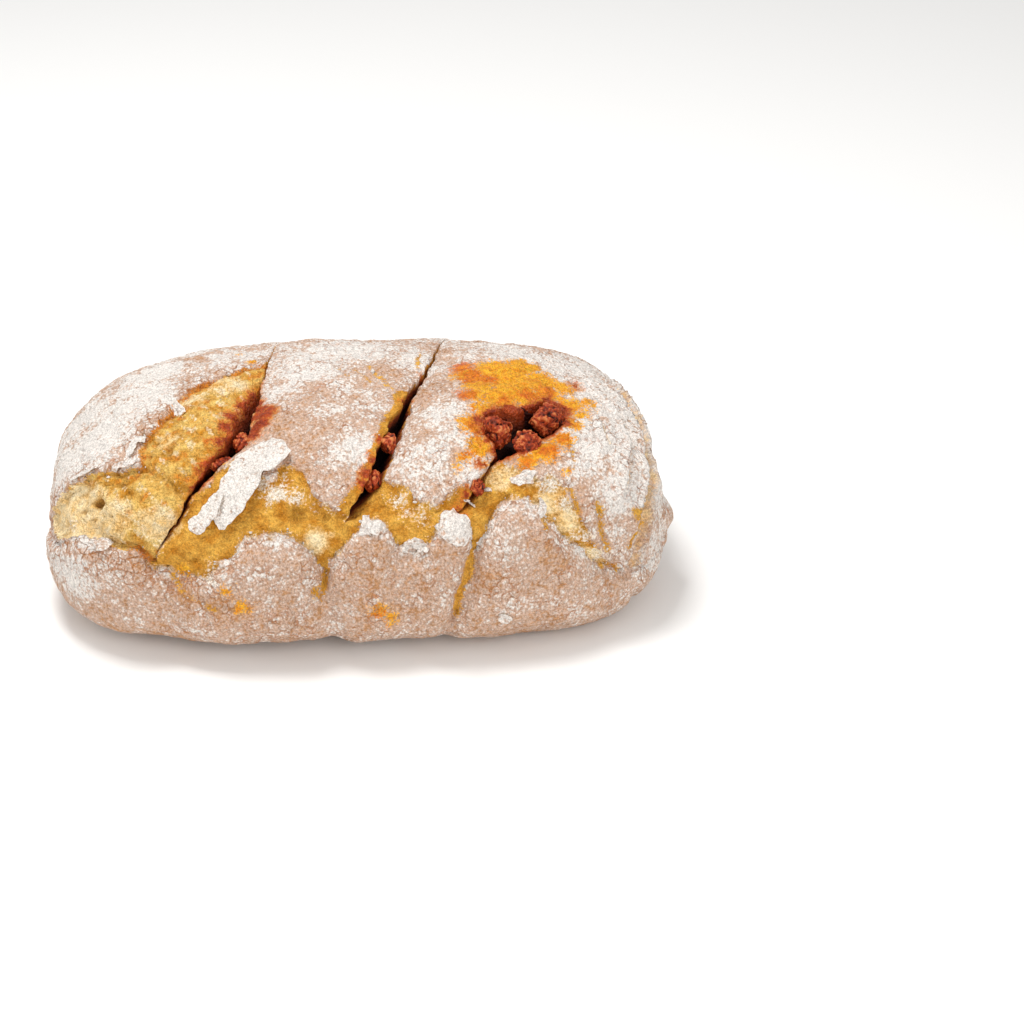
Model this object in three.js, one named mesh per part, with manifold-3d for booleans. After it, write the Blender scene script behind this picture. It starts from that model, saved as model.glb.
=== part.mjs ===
// A plump filled flatbread: one piece of floured dough, slashed three times across its top before
// baking, with crumbs of cooked sausage filling showing in the slashes.
// Millimetres. +X to the loaf's right end, +Y to its back, +Z up. It stands on z = 0 and the
// origin is under the middle of its box.
import * as THREE from "three";
import { mergeVertices } from "three/addons/utils/BufferGeometryUtils.js";
import Module from "manifold-3d";

// The dough: a rounded slab with a flat base. Its widest line is WAIST above the base.
const LEFT = 112;
const RIGHT = 113;
const FRONT = 66;
const BACK = 76;
const RIDGE_Y = -5; // the top ridge, where the front half meets the back half
const HEIGHT = 81;
const WAIST = 23;
const BASE_CUT = 2.5; // how much of the round underside the flat base takes off
const END_ROUNDNESS = { left: 2.95, right: 3.25 }; // superellipse powers seen from above
const TOP_ROUNDNESS = 2.6;
const UNDER_ROUNDNESS = 3.6;
const END_TAPER = 0.83; // how fast the height falls off towards the ends
const RINGS = 54;
const RING_POINTS = 42;

// Surface places are [x, phi]: phi is degrees round the loaf, 0 at the front, 90 on top, 180 behind.
// Each slash is a wedge through the skin, so wide at the skin and so deep at its middle. The torn
// face beside the first one slopes down into it from further out.
const SLASHES = [
  { path: [[-27, 132], [-31, 104], [-35, 78], [-41, 56], [-53, 44], [-61, 33], [-71, 19]], width: 8, depth: 17, torn: 9 },
  { path: [[38, 136], [32, 112], [23, 84], [15, 60], [9, 43], [-3, 28]], width: 6.5, depth: 18, torn: 0 },
  { path: [[62, 76], [57, 58], [50, 46], [43, 36], [34, 29]], width: 5, depth: 13, torn: 0 },
];
const SLASH_DIP = 3; // the dough rounds down to each slash by this much
const SLASH_DIP_REACH = 8;
const PIT = { place: [62, 64], radii: [14, 7.5, 12], sink: 1, bumps: 0.12 }; // where the filling broke out

// The floured underskin rises up the front in lobes: middle x, half width, and phi of its upper edge.
const LOBES = [
  { x: -92, half: 26, top: 25 },
  { x: -28, half: 20, top: 26 },
  { x: 6, half: 15, top: 27 },
  { x: 33, half: 10, top: 30 },
  { x: 60, half: 19, top: 33 },
];
const LOBE_RISE = 2.2;
const LOBE_FLOOR = 8; // phi of the lowest point between two lobes
const LOBE_SLOPE = 4; // degrees over which a lobe's edge rises
const LOBE_FADE = [-50, -20]; // phi between which the lobes fade out towards the base

// The end of the dough was pinched shut into a small point on the right.
const PINCH = { y: -20, z: 27, out: 6, reachY: 13, reachZ: 9, from: 92 };

// Filling crumbs: place on the skin, depth of the middle under it, and radii along x, up the skin
// and through it.
const CRUMBS = {
  filling_left_upper: { place: [-39, 61], sink: 8, radii: [4.5, 5.5, 4.5] },
  filling_left_lower: { place: [-46, 51], sink: 8.5, radii: [5, 4, 4] },
  filling_middle_upper: { place: [13, 57], sink: 5.5, radii: [3.4, 6, 4.2] },
  filling_middle_lower: { place: [7, 43], sink: 7.5, radii: [3.4, 5.5, 4.2] },
  filling_pit_left: { place: [52, 62], sink: 4.5, radii: [5.6, 6.4, 5.5] },
  filling_pit_right: { place: [71.5, 66], sink: 4, radii: [5.8, 7.2, 6] },
  filling_pit_front: { place: [63, 54.5], sink: 3.6, radii: [5, 4, 4.6] },
  filling_pit_back: { place: [61.5, 74], sink: 6.5, radii: [4.8, 4.2, 5] },
  filling_right_slit: { place: [44, 38], sink: 2.6, radii: [2.6, 3.4, 2.8] },
};
const CRUMB_BUMPS = 0.13;
const GAP = 0.35; // clear space between a crumb and the dough round it

const DOUGH = new THREE.MeshStandardMaterial({ color: 0xe6d3b3, roughness: 0.9, metalness: 0 });
const SAUSAGE = new THREE.MeshStandardMaterial({ color: 0x8e3a1c, roughness: 0.55, metalness: 0 });

const wasm = await Module();
wasm.setup();

function toSolid(geometry) {
  geometry.deleteAttribute("normal");
  geometry.deleteAttribute("uv");
  const merged = mergeVertices(geometry, 1e-4);
  const triVerts = new Uint32Array(merged.index.array);
  return new wasm.Manifold(
    new wasm.Mesh({ numProp: 3, vertProperties: merged.attributes.position.array, triVerts }),
  );
}

function toMesh(name, solid, material) {
  const { vertProperties, triVerts } = solid.getMesh();
  const geometry = new THREE.BufferGeometry();
  geometry.setAttribute("position", new THREE.BufferAttribute(vertProperties, 3));
  geometry.setIndex(new THREE.BufferAttribute(triVerts, 1));
  geometry.computeVertexNormals();
  const mesh = new THREE.Mesh(geometry, material.clone());
  mesh.name = name;
  return mesh;
}

// A closed surface through a row of rings of equal length, each end closed by its ring's middle.
function loft(rings) {
  const count = rings[0].length;
  const middle = (ring) => ring.reduce((sum, p) => sum.add(p), new THREE.Vector3()).divideScalar(count);
  const points = [...rings.flat(), middle(rings[0]), middle(rings.at(-1))];
  const first = rings.length * count;
  const faces = [];
  for (let j = 0; j < count; j++) {
    const k = (j + 1) % count;
    for (let i = 0; i < rings.length - 1; i++) {
      const [a, b, c, d] = [i * count + j, i * count + k, (i + 1) * count + k, (i + 1) * count + j];
      faces.push(a, c, b, a, d, c);
    }
    const last = (rings.length - 1) * count;
    faces.push(first, j, k, first + 1, last + k, last + j);
  }
  const geometry = new THREE.BufferGeometry().setFromPoints(points);
  geometry.setIndex(faces);
  return geometry;
}

// How wide the slab is at x, as a share of its widest.
function widthShare(x) {
  const [length, power] = x < 0 ? [LEFT, END_ROUNDNESS.left] : [RIGHT, END_ROUNDNESS.right];
  return Math.max(1 - Math.abs(x / length) ** power, 1e-9) ** (1 / power);
}

// The smooth slab at x and phi. Seen from above it is a superellipse, and so is each cross-section.
function slab(x, phi) {
  const share = widthShare(x);
  const across = -Math.cos(THREE.MathUtils.degToRad(phi));
  const up = Math.sin(THREE.MathUtils.degToRad(phi));
  const halfWidth = (across < 0 ? FRONT : BACK) * share;
  const rise = (up > 0 ? HEIGHT - WAIST : WAIST + BASE_CUT) * share ** END_TAPER;
  const power = up > 0 ? TOP_ROUNDNESS : UNDER_ROUNDNESS;
  const r = (Math.abs(across / halfWidth) ** power + Math.abs(up / rise) ** power) ** (-1 / power);
  return new THREE.Vector3(x, RIDGE_Y + across * r, WAIST + up * r);
}

// The slab's point and its directions along x, up the skin and out of it.
function skinFrame(x, phi) {
  const step = 0.5;
  const along = slab(x + step, phi).sub(slab(x - step, phi)).normalize();
  const up = slab(x, phi + step).sub(slab(x, phi - step));
  const out = along.clone().cross(up).normalize();
  return { point: slab(x, phi), along, up: out.clone().cross(along), out };
}

function slashPoints({ path }, count) {
  return new THREE.SplineCurve(path.map(([x, phi]) => new THREE.Vector2(x, phi))).getPoints(count);
}

const slashLines = SLASHES.map((slash) => slashPoints(slash, 24).map((p) => slab(p.x, p.y)));

function slashDip(point) {
  const gaps = slashLines.flat().map((p) => p.distanceTo(point));
  return SLASH_DIP * Math.exp(-((Math.min(...gaps) / SLASH_DIP_REACH) ** 2));
}

function lobeRise(x, phi) {
  const edges = LOBES.map(({ x: middle, half, top }) => top - top * Math.abs((x - middle) / half) ** 2.4);
  const edge = Math.max(LOBE_FLOOR, ...edges);
  const inside = THREE.MathUtils.smoothstep(edge - phi, 0, LOBE_SLOPE);
  return LOBE_RISE * inside * THREE.MathUtils.smoothstep(phi, ...LOBE_FADE) * widthShare(x);
}

// The dough's own surface: the slab, dipping to the slashes, with the lobes and the pinched end.
function dough(x, phi) {
  const { point, out } = skinFrame(x, phi);
  const p = point.clone().addScaledVector(out, lobeRise(x, phi) - slashDip(point));
  if (p.x > PINCH.from) {
    const share = (p.x - PINCH.from) / (RIGHT - PINCH.from);
    const near = ((p.y - PINCH.y) / PINCH.reachY) ** 2 + ((p.z - PINCH.z) / PINCH.reachZ) ** 2;
    p.x += PINCH.out * share * Math.exp(-near);
  }
  p.z = Math.max(p.z, 0);
  return p;
}

function doughSolid() {
  const rings = [];
  for (let i = 1; i < RINGS; i++) {
    const turn = -Math.PI / 2 + (Math.PI * i) / RINGS;
    const x = Math.sin(turn) * (turn < 0 ? LEFT : RIGHT);
    const phis = Array.from({ length: RING_POINTS }, (_, j) => -90 + (360 * j) / RING_POINTS);
    rings.push(phis.map((phi) => dough(x, phi)));
  }
  return toSolid(loft(rings));
}

// One slash: a wedge that starts above the skin, narrows to its floor and fades at both ends.
function slashSolid(slash) {
  const count = 18;
  const above = 5;
  const rings = slashPoints(slash, count).map(({ x, y: phi }, i, all) => {
    const before = all[Math.max(i - 1, 0)];
    const after = all[Math.min(i + 1, count)];
    const { point, out } = skinFrame(x, phi);
    const ahead = slab(after.x, after.y).sub(slab(before.x, before.y)).normalize();
    const side = ahead.clone().cross(out).normalize();
    const open = 0.25 + 0.75 * Math.sin((Math.PI * (i + 0.5)) / (count + 1)) ** 0.7;
    const half = (slash.width / 2) * open;
    const floor = -slash.depth * open;
    const far = half + slash.torn * open;
    const outline = [[-half - 1, above], [-half, 0], [-half / 3, floor], [half / 3, floor], [far, 0], [far + 2, above]];
    return outline.map(([s, h]) => point.clone().addScaledVector(side, s).addScaledVector(out, h));
  });
  return toSolid(loft(rings));
}

// A rough round lump in the skin's own directions, with every radius larger by grow.
function lumpSolid({ place, sink, radii, bumps = CRUMB_BUMPS }, grow = 0, detail = 2) {
  const { point, along, up, out } = skinFrame(...place);
  const centre = point.addScaledVector(out, -sink);
  const ball = new THREE.IcosahedronGeometry(1, detail);
  const position = ball.getAttribute("position");
  const turn = new THREE.Matrix4().makeBasis(along, up, out);
  for (let i = 0; i < position.count; i++) {
    const dir = new THREE.Vector3().fromBufferAttribute(position, i);
    const rough = Math.sin(4 * dir.x + place[0]) * Math.cos(5 * dir.y) + Math.sin(5 * dir.z + place[1]);
    const p = dir.clone().multiply(new THREE.Vector3(...radii)).multiplyScalar(1 + (bumps * rough) / 2);
    p.addScaledVector(dir, grow).applyMatrix4(turn).add(centre);
    position.setXYZ(i, p.x, p.y, p.z);
  }
  return toSolid(ball);
}

function loafSolid() {
  const cutters = [...SLASHES.map(slashSolid), lumpSolid(PIT)];
  const pockets = Object.values(CRUMBS).map((crumb) => lumpSolid(crumb, GAP));
  return [...cutters, ...pockets].reduce((solid, cutter) => solid.subtract(cutter), doughSolid());
}

const flatbread = new THREE.Group();
flatbread.add(toMesh("loaf", loafSolid(), DOUGH));
for (const [name, crumb] of Object.entries(CRUMBS)) flatbread.add(toMesh(name, lumpSolid(crumb), SAUSAGE));
const middle = new THREE.Box3().setFromObject(flatbread).getCenter(new THREE.Vector3());
flatbread.position.set(-middle.x, -middle.y, 0);

export default flatbread;
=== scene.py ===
import bpy
import numpy as np
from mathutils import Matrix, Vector


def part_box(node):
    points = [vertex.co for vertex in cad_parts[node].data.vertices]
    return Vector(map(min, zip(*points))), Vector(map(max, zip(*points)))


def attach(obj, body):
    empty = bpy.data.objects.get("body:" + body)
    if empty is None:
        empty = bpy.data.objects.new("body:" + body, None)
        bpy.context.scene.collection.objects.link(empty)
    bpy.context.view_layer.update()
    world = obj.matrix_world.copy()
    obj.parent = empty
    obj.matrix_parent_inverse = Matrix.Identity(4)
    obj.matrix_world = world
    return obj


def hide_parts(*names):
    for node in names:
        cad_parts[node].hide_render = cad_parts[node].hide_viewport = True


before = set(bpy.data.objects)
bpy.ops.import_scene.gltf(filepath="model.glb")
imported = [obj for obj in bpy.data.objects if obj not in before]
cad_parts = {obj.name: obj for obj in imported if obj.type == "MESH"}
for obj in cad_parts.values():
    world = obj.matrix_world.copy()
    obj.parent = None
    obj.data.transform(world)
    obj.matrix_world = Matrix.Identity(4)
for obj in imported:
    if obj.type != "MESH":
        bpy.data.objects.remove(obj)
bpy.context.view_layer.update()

MM = 0.001


# The loaf: one piece of soft wheat dough, folded and pinched shut by hand at its right end, rolled
# in flour, slashed three times with a blade and baked on an oven floor. The slashes opened in the
# oven: the floured skin pulled apart in lobes and bare golden crumb stretched between them.
LEFT, RIGHT, FRONT, BACK, RIDGE_Y = 112.0, 113.0, 66.0, 76.0, -5.0  # millimetres, as in the CAD
HEIGHT, WAIST, BASE_CUT = 81.0, 23.0, 2.5
OUTSIDE = -9.0  # millimetres inside an area, for a point far outside it
MM_PER_DEGREE = 1.1  # about the length of one degree of phi along the crust
LEFT_POWER, RIGHT_POWER, TOP_POWER, UNDER_POWER, END_TAPER = 2.95, 3.25, 2.6, 3.6, 0.83
ROWS, COLUMNS = 338, 288
loaf_low, loaf_high = (np.array(corner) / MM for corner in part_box("loaf"))
SHIFT = np.array([loaf_low[0] + LEFT, loaf_high[1] - BACK - RIDGE_Y, 0.0])


def slab(x, phi):
    """The plain loaf, in millimetres. Seen from above its outline is a superellipse of x, and each
    cross-section is a superellipse of the direction phi: 0 the front, 90 the top, 180 the back."""
    length = np.where(x < 0, LEFT, RIGHT)
    power = np.where(x < 0, LEFT_POWER, RIGHT_POWER)
    share = np.maximum(1 - np.abs(x / length) ** power, 1e-9) ** (1 / power)
    across, up = -np.cos(np.radians(phi)), np.sin(np.radians(phi))
    width = np.where(across < 0, FRONT, BACK) * share
    rise = np.where(up > 0, HEIGHT - WAIST, WAIST + BASE_CUT) * share**END_TAPER
    power = np.where(up > 0, TOP_POWER, UNDER_POWER)
    r = (np.abs(across / width) ** power + np.abs(up / rise) ** power) ** (-1 / power)
    return np.stack([x + 0 * r, RIDGE_Y + across * r, WAIST + up * r], -1)


def unit(vectors):
    """The same vectors, each one long."""
    return vectors / np.maximum(np.linalg.norm(vectors, axis=-1, keepdims=True), 1e-9)


def skin_frame(x, phi):
    """The slab's point and its directions along x, up the skin and out of it, by differences."""
    step = 0.4
    ahead, behind = np.clip(x + step, -LEFT, RIGHT), np.clip(x - step, -LEFT, RIGHT)
    along = unit(slab(ahead, phi) - slab(behind, phi))
    out = unit(np.cross(along, slab(x, phi + step) - slab(x, phi - step)))
    return slab(x, phi), along, np.cross(out, along), out


def noise(points, size, seed):
    """Smooth noise, about -1 to 1, with lumps of the given size: a random slope at each corner of a
    cubic lattice, blended across each cube with the fade 6t^5 - 15t^4 + 10t^3."""
    slopes = unit(np.random.default_rng(seed).normal(size=(512, 3)))
    cell = np.floor(points / size).astype(np.int64)
    part = points / size - cell
    fade = part**3 * (part * (part * 6 - 15) + 10)
    total = np.zeros(points.shape[:-1])
    for corner in np.ndindex(2, 2, 2):
        at = cell + corner
        slope = slopes[(at[..., 0] * 73856093 ^ at[..., 1] * 19349663 ^ at[..., 2] * 83492791) % 512]
        weight = np.prod(np.where(corner, fade, 1 - fade), axis=-1)
        total += weight * np.sum(slope * (part - corner), axis=-1)
    return total * 1.6


def smooth(value, low, high):
    """0 below low, 1 above high and an S-curve between."""
    t = np.clip((value - low) / (high - low), 0, 1)
    return t * t * (3 - 2 * t)


def bump(value, width):
    """A bell of height 1 round value 0."""
    return np.exp(-((value / width) ** 2))


# Distances on the skin are measured on a chart: x, and v, the length along the middle section.
chart_phi = np.linspace(-90, 270, 721)
middle_section = slab(np.zeros_like(chart_phi), chart_phi)
chart_v = np.r_[0, np.cumsum(np.linalg.norm(np.diff(middle_section, axis=0), axis=1))]
chart_v -= np.interp(0, chart_phi, chart_v)


def chart(phi):
    """Millimetres up the skin of the middle section at each phi."""
    return np.interp(phi, chart_phi, chart_v)


def to_line(line, x, phi):
    """Millimetres on the chart to the nearest side of a chain of (x, phi) corners."""
    corners = np.array(line, float)
    corners[:, 1] = chart(corners[:, 1])
    v = chart(phi)
    nearest = np.full(np.shape(x), 1e9)
    for (ax, av), (bx, bv) in zip(corners[:-1], corners[1:]):
        dx, dv = bx - ax, bv - av
        t = np.clip(((x - ax) * dx + (v - av) * dv) / (dx * dx + dv * dv), 0, 1)
        nearest = np.minimum(nearest, np.hypot(x - ax - t * dx, v - av - t * dv))
    return nearest


def inside(outline, x, phi):
    """Millimetres inside a closed outline of (x, phi) corners, negative outside it: the distance to
    its nearest side, signed by whether a level line to the right crosses an odd number of sides."""
    closed = outline + outline[:1]
    odd = np.zeros(np.shape(x), bool)
    for (ax, a), (bx, b) in zip(closed[:-1], closed[1:]):
        if a != b:
            odd ^= ((a > phi) != (b > phi)) & (x < ax + (phi - a) * (bx - ax) / (b - a))
    distance = to_line(closed, x, phi)
    return np.where(odd, distance, -distance)


def blots(places, x, phi):
    """Millimetres inside the nearest of some round blots (x, phi, radius), negative outside."""
    v = chart(phi)
    return np.max([radius - np.hypot(x - bx, v - chart(bphi)) for bx, bphi, radius in places], axis=0)


# Each slash, from behind to its front end: phi, x, half width to the left and right, depth, and the
# lean of its cut under the left lip as a share of the depth.
SLASHES = {
    "left": [
        (134, -27, 0.2, 0.2, 0, 0), (122, -28.5, 0.3, 0.3, 1.2, 0), (106, -31, 0.4, 0.4, 2, 0),
        (94, -33, 0.6, 0.6, 3, 0), (86, -34.5, 2.2, 0.9, 8, -0.1), (76, -36.5, 4.0, 1.2, 13, -0.1),
        (68, -38, 4.6, 1.5, 15, 0), (62, -39.5, 4.2, 2.1, 16, 0.1), (57, -42, 3.4, 2.8, 16, 0.15),
        (52, -47, 2.3, 2.6, 15, 0.3), (48, -51.5, 1.5, 2.2, 12, 0.35), (44, -55, 0.8, 1.6, 8, 0.35),
        (40, -57.5, 0.6, 1.3, 6, 0.35), (34, -61, 0.5, 1.2, 5, 0.35), (26, -66.5, 0.5, 1.2, 4, 0.35),
        (19, -71, 0.3, 0.6, 0, 0.3),
    ],
    "middle": [
        (140, 40, 0.2, 0.2, 0, 0), (130, 36, 0.3, 0.3, 1.2, 0), (112, 32, 0.4, 0.4, 2.4, 0.1),
        (98, 27.5, 0.6, 0.6, 4, 0.2), (88, 24, 1.0, 1.0, 8, 0.3), (76, 20.5, 1.6, 1.9, 14, 0.35),
        (66, 17, 2.2, 3.0, 17, 0.35), (57, 13.5, 2.4, 3.2, 18, 0.35), (48, 10.5, 2.2, 3.2, 17, 0.35),
        (42, 8, 2.0, 3.0, 16, 0.35), (37, 4, 1.4, 2.2, 12, 0.35), (32, 0, 0.9, 1.7, 8, 0.35),
        (27.5, -3.5, 0.2, 0.3, 0, 0.3),
    ],
    "right": [
        (61, 58.5, 1.2, 1.2, 0, 0), (57, 56.5, 1.5, 1.4, 10, 0.2),
        (52, 53.5, 0.9, 1.2, 8, 0.3), (48, 51, 0.4, 0.6, 4, 0.35), (43, 48, 0.4, 0.5, 3.5, 0.35),
        (39, 45.5, 0.8, 1.1, 5, 0.35), (35, 42.5, 0.9, 1.4, 6, 0.35), (31, 38.5, 0.4, 0.6, 3, 0.3),
        (27, 33, 0.2, 0.2, 0, 0.3),
    ],
}
CROWDING, CROWDED = 3.6, 3.4  # how many times closer rows lie beside a slash, and within how far


def slash_values(name, phi):
    """x, half widths, depth and lean of a slash at each phi, between the rows of its table, and the
    slope dx/dv of its line. The line wavers, because the blade dragged on the soft skin."""
    table = np.array(SLASHES[name], float)[::-1]
    x, left, right, depth, lean = (np.interp(phi, table[:, 0], column) for column in table[:, 1:].T)
    where = np.stack([phi / 7, phi * 0 + len(name), phi * 0], -1)
    x = x + (1.2 * noise(where, 1, 26) + 0.7 * noise(where, 0.4, 27)) * smooth(depth, 0.5, 5)
    fine = np.linspace(table[0, 0], table[-1, 0], 200)
    slope = np.gradient(np.interp(fine, table[:, 0], table[:, 1]), chart(fine))
    slope = np.convolve(np.pad(slope, 10, mode="edge"), np.ones(21) / 21, mode="valid")
    return x, left, right, depth, lean, np.interp(phi, fine, slope)


# Columns run round the loaf, closer together where it is seen from the front and above. Rows run
# along it and crowd towards each slash, so that they turn to follow it.
fine_phi = np.linspace(-90, 270, 1441)
weight = 0.36 + 0.64 * smooth(fine_phi, -38, -18) * (1 - smooth(fine_phi, 128, 150))
steps = np.r_[0, np.cumsum(weight[1:] * np.diff(chart(fine_phi)))]
column_phi = np.interp(np.arange(COLUMNS) / COLUMNS * steps[-1], steps, fine_phi)
turn = np.radians(np.linspace(-90, 90, 2401))
fine_x = np.sin(turn) * np.where(turn < 0, LEFT, RIGHT)
rim = slab(fine_x, np.zeros_like(fine_x))
lengths = np.r_[0, np.linalg.norm(np.diff(rim, axis=0), axis=1)]
x = np.empty((ROWS, COLUMNS))
for column, angle in enumerate(column_phi):
    crowd = sum(bump(fine_x - slash_values(name, np.array(angle))[0], CROWDED) for name in SLASHES)
    travelled = np.cumsum(lengths * (1 + CROWDING * crowd))
    rows = np.linspace(travelled[-1] * 0.0035, travelled[-1] * 0.9965, ROWS)
    x[:, column] = np.interp(rows, travelled, fine_x)
phi = np.broadcast_to(column_phi, x.shape)
point, along, up, out = skin_frame(x, phi)
v = chart(phi)

# Ragged copies of x and phi, so that no edge below is a clean curve.
ragged_x, ragged_phi = (
    base + 1.7 * noise(point, 9, seed) + 1.2 * noise(point, 3.6, seed + 1) + 0.5 * noise(point, 1.8, seed + 2)
    for base, seed in ((x, 101), (phi, 104))
)

# The upper edge of the floured underskin, which rises up the front in lobes, and the lower edge of
# the floured top skin. Bare crumb shows between them, sunk a little.
LOBE_EDGE = [
    (-113, 16), (-108, 18), (-98, 26), (-90, 23), (-79, 22), (-73, 14), (-66, 12), (-53, 11), (-47, 16),
    (-40, 23), (-32, 26), (-22, 25), (-17, 21), (-13, 16), (-11, 8), (-9, 15), (-5, 18), (0, 25), (5, 28),
    (11, 27), (13.5, 21), (18, 19), (24, 20), (28, 25), (32, 30), (37, 30), (40.5, 26), (41.5, 13),
    (43.5, 18), (47, 26), (53, 32), (60, 34), (66, 32), (67.5, 27), (74, 21), (84, 13), (92, 5), (113, -8),
]
SKIN_EDGE = [
    (-113, 16), (-72, 17), (-66, 26), (-60.5, 34), (-56, 41), (-47, 49), (-36, 50), (-30, 42), (-25, 47),
    (-18, 46), (-14, 38), (-9, 33), (-3, 29), (0, 33), (4, 39), (8, 43), (12, 42), (19, 38), (24, 33),
    (30, 33), (37, 37), (42, 37), (47, 44), (53, 49), (58, 44), (63, 43), (67, 40), (70, 42), (73, 40),
    (76, 34), (81, 26), (86, 17), (93, 7), (113, -7),
]
lobe_edge = np.interp(ragged_x, *np.array(LOBE_EDGE).T)
skin_edge = np.interp(ragged_x, *np.array(SKIN_EDGE).T)
below_lobe = (lobe_edge - ragged_phi) * MM_PER_DEGREE  # millimetres down from the lobes' edge
above_skin = (ragged_phi - skin_edge) * MM_PER_DEGREE  # millimetres up from the top skin's edge
middle = np.abs(x) < 98
band = np.where(middle & (phi < 70), np.minimum(-below_lobe, -above_skin), OUTSIDE)
relief = -1.3 * smooth(band, -0.5, 0.8) - 1.3 * smooth(band, 0, 6)
relief += 2.6 * smooth(below_lobe, 0, 8) * (phi < 60) * smooth(phi, -35, 0)
relief -= 1.2 * bump(np.minimum(below_lobe, 0) * 0.5, 1) * smooth(below_lobe, -3, 0) * (below_lobe < 0)

# Valleys between the lobes: x, phi of the top, lean of x with phi, half width and depth.
VALLEYS = [
    (-66, 10, 0.15, 9, 3.6), (-11.5, 8, -0.1, 5, 4.4), (19, 14, 0, 5.5, 2.2), (41, 12, 0.35, 4.5, 4.2),
    (86, 8, -0.5, 7, 2.8),
]
for top_x, top_phi, lean, half, deep in VALLEYS:
    valley = bump(x - top_x - lean * (phi - top_phi), half)
    relief -= deep * valley * smooth(phi, -30, top_phi - 2) * smooth(below_lobe, -5, 2) * (phi < 60)

# How far the skin tucks in under the front, along the loaf: it curls up off the floor left of centre.
TUCK = [
    (-113, 0), (-98, -1.5), (-75, 3), (-50, 5.5), (-20, 6), (5, 5), (30, 3), (55, 0.5), (78, -2), (100, -2),
]
tuck = np.interp(x, *np.array(TUCK, float).T) + 0.8 * noise(point, 30, 28)
relief -= tuck * smooth(-phi, 4, 32) * (1 - smooth(-phi, 62, 85))

# The torn face left of the left slash: bare crumb in two swellings with a crease between them.
TORN_FACE = [
    (-34, 108), (-45, 102), (-58, 91), (-68, 75), (-75, 61), (-76, 51), (-84, 50), (-92, 52), (-106, 49),
    (-111, 36), (-108, 22), (-97, 27), (-86, 22), (-78, 21), (-73, 16), (-40, 16), (-10, 60), (-22, 108),
]
slash_gap = {}  # signed millimetres from each slash, positive to its right
for name in SLASHES:
    line_x, _, _, _, _, slope = slash_values(name, phi)
    slash_gap[name] = (x - line_x) / np.sqrt(1 + slope**2)
torn = np.where(slash_gap["left"] < 0.5, inside(TORN_FACE, ragged_x, ragged_phi), OUTSIDE)
fibres = noise(np.stack([(x + 0.7 * v) / 2.0, (v - 0.7 * x) / 8, 0 * x], -1), 1, 5)
rags = 1 - np.abs(noise(np.stack([(x + 0.7 * v) / 3.4, (v - 0.7 * x) / 7, 0 * x], -1), 1, 29)) * 2
swelling = 1 - np.abs(np.clip(slash_gap["left"] + 12, -12, 12) / 12) ** 2
step = 2.6 + 1.8 * noise(point, 13, 30)  # how far the crumb lies below the crust beside it
relief -= step * smooth(torn, -0.4, 0.9)
relief += smooth(torn, 0, 5) * (2.6 * swelling + 0.6 * fibres + 0.5 * rags + 0.9 * noise(point, 6, 6))
CREASE = [(-76, 50), (-71, 48.5), (-66, 44), (-61, 41), (-57, 40)]
crease = to_line(CREASE, ragged_x, ragged_phi)
relief -= 2.2 * bump(crease, 1.5) * smooth(torn, -0.5, 1)
relief += 1.5 * bump(torn + 2.2, 2.2) * np.maximum(noise(point, 6, 24), -0.2)  # the crust's edge curls up
PORES = [  # bubbles burst at the surface: x, phi, half sizes, depth
    (-91.5, 38.5, 3.4, 2.6, 4.0), (-65, 56, 2.0, 4.4, 1.8), (-83, 45, 4.5, 1.4, 1.4),
    (-79, 41, 1.5, 1.2, 1.2), (-88, 46, 1.6, 1.0, 1.2), (-72, 54, 1.2, 1.6, 1.0),
    (54.5, 34.5, 1.8, 1.6, 1.3), (-29, 24.5, 2.6, 1.8, 1.2),
    (-20, 31, 3.0, 4.2, 1.8), (-40, 97, 1.2, 1.0, 1.0), (-66, 71, 3.2, 1.2, 1.0), (-99, 36, 1.2, 1.6, 1.2),
    (10, 33, 1.4, 0.9, 0.8), (-2, 36, 1.2, 0.8, 0.6), (-55, 72, 1.4, 1.0, 0.9), (-51, 88, 1.5, 0.9, 0.8),
    (82.5, 93.5, 0.9, 1.3, 1.8), (-75, 66, 1.0, 2.4, 1.5), (-70, 62, 0.9, 2.2, 1.4), (-61, 63, 0.8, 1.8, 1.1),
    (-95, 32, 1.8, 0.9, 1.2), (-86, 33, 1.1, 0.8, 0.9), (-76, 47, 2.0, 0.9, 1.1), (66, 40, 1.4, 1.0, 1.0),
    (-10, 30, 1.3, 1.7, 1.1), (30, 31, 1.7, 1.2, 1.0), (-47, 15, 1.2, 0.9, 0.8), (-57, 17, 1.4, 1.0, 0.8),
]
pore = np.zeros_like(x)
for px, pphi, half_x, half_v, deep in PORES:
    gap = np.hypot((x - px) / half_x, (v - chart(pphi)) / half_v)
    hollow = deep * (1 - smooth(gap + 0.35 * noise(point, 1.8, 7), 0.45, 1.15))
    pore = np.maximum(pore, hollow)
relief -= pore

# The hole where filling burst out at the top of the right slash.
HOLE = [
    (47.5, 62), (49.5, 68), (56, 71), (61, 70), (66, 74), (72, 78), (78, 73), (77, 64), (73, 59), (67, 56),
    (62, 52.5), (56, 50), (52.5, 50), (51, 55), (48, 58),
]
HOLE_DEPTH = 11.0
hole = inside(HOLE, x + 0.7 * noise(point, 3, 8), phi + 0.6 * noise(point, 2.4, 31))
relief -= HOLE_DEPTH * smooth(hole, -0.4, 2.6) + 1.4 * bump(np.minimum(hole, 0), 6)

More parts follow.
